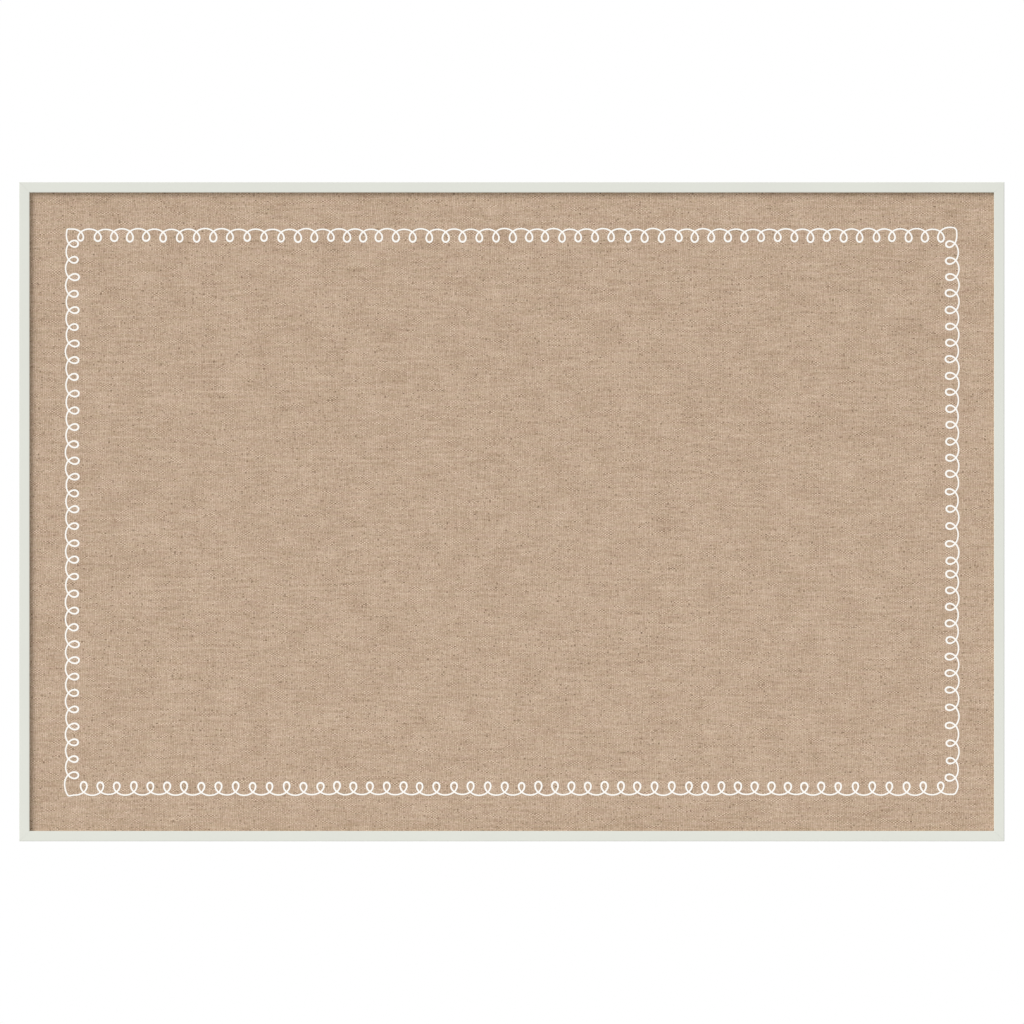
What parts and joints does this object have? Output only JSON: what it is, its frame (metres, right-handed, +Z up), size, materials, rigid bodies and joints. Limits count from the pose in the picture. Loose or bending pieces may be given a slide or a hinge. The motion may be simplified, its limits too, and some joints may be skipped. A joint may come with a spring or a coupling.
{
  "type": "pinboard",
  "caption": "Landscape linen pinboard with a printed looped scallop border in a slim painted frame, hung by swinging D-rings.",
  "frame": {"origin": "the wall plane behind the middle of the board, where the bumpers meet the wall", "axes": "+X to the right along the board's width, +Y into the wall, +Z up; the linen front faces -Y"},
  "size_m": [0.914, 0.0284, 0.6116],
  "materials": {
    "painted_wood": "satin",
    "linen": "matte",
    "ink": "matte",
    "softboard": "matte",
    "pine": "matte",
    "zinc_steel": "satin",
    "rubber": "matte"
  },
  "bodies": {
    "board": {"frame_rail_top": "painted_wood", "retaining_point_top_1": "zinc_steel", "retaining_point_top_2": "zinc_steel", "retaining_point_top_3": "zinc_steel", "linen_staple_top_1": "zinc_steel", "linen_staple_top_2": "zinc_steel", "linen_staple_top_3": "zinc_steel", "linen_staple_top_4": "zinc_steel", "linen_staple_top_5": "zinc_steel", "linen_staple_top_6": "zinc_steel", "frame_rail_right": "painted_wood", "retaining_point_right_1": "zinc_steel", "retaining_point_right_2": "zinc_steel", "linen_staple_right_1": "zinc_steel", "linen_staple_right_2": "zinc_steel", "linen_staple_right_3": "zinc_steel", "linen_staple_right_4": "zinc_steel", "frame_rail_bottom": "painted_wood", "retaining_point_bottom_1": "zinc_steel", "retaining_point_bottom_2": "zinc_steel", "retaining_point_bottom_3": "zinc_steel", "linen_staple_bottom_1": "zinc_steel", "linen_staple_bottom_2": "zinc_steel", "linen_staple_bottom_3": "zinc_steel", "linen_staple_bottom_4": "zinc_steel", "linen_staple_bottom_5": "zinc_steel", "linen_staple_bottom_6": "zinc_steel", "frame_rail_left": "painted_wood", "retaining_point_left_1": "zinc_steel", "retaining_point_left_2": "zinc_steel", "linen_staple_left_1": "zinc_steel", "linen_staple_left_2": "zinc_steel", "linen_staple_left_3": "zinc_steel", "linen_staple_left_4": "zinc_steel", "v_nail_top_left": "zinc_steel", "wall_bumper_top_left": "rubber", "v_nail_top_right": "zinc_steel", "wall_bumper_top_right": "rubber", "v_nail_bottom_right": "zinc_steel", "wall_bumper_bottom_right": "rubber", "v_nail_bottom_left": "zinc_steel", "wall_bumper_bottom_left": "rubber", "linen_cover": "linen", "loop_border": "ink", "core_board": "softboard", "strainer_batten_top": "pine", "strainer_batten_bottom": "pine", "strainer_batten_left": "pine", "strainer_batten_right": "pine", "strainer_centre_brace": "pine", "hanger_strap_left": "zinc_steel", "hanger_screw_left_1": "zinc_steel", "hanger_screw_left_2": "zinc_steel", "hanger_strap_right": "zinc_steel", "hanger_screw_right_1": "zinc_steel", "hanger_screw_right_2": "zinc_steel"},
    "ring_left": {"hanger_ring_left": "zinc_steel"},
    "ring_right": {"hanger_ring_right": "zinc_steel"}
  },
  "joints": [
    {"name": "ring_left_swing", "type": "hinge", "parent": "board", "child": "ring_left", "pos_m": [-0.4215, -0.003, 0.17775], "axis": [-1, 0, 0], "range_deg": [0, 175]},
    {"name": "ring_right_swing", "type": "hinge", "parent": "board", "child": "ring_right", "pos_m": [0.4215, -0.003, 0.17775], "axis": [-1, 0, 0], "range_deg": [0, 175]}
  ]
}
